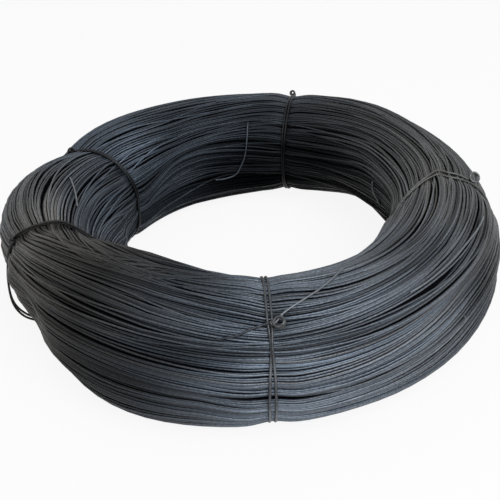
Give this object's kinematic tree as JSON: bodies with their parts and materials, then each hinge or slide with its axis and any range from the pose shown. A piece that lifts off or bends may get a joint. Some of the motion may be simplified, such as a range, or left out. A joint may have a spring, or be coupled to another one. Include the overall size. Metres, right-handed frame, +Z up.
{
  "type": "coil of binding wire",
  "caption": "Coil of dark soft steel binding wire, wound as a thick ring with an open bore and held by doubled wire ties with twisted ends.",
  "frame": {"origin": "on the floor, at the middle of the coil", "axes": "+Z up along the coil's axis, -Y towards the tie that faces the viewer, +X to the viewer's right"},
  "size_m": [0.36, 0.3598, 0.088],
  "materials": {
    "coil_wire": "matte",
    "tie_wire": "matte"
  },
  "bodies": {
    "root": {"wire_coil": "coil_wire", "tie_front": "tie_wire", "tie_left": "tie_wire", "tie_back_left": "tie_wire", "tie_back": "tie_wire", "tie_right": "tie_wire"}
  },
  "joints": []
}
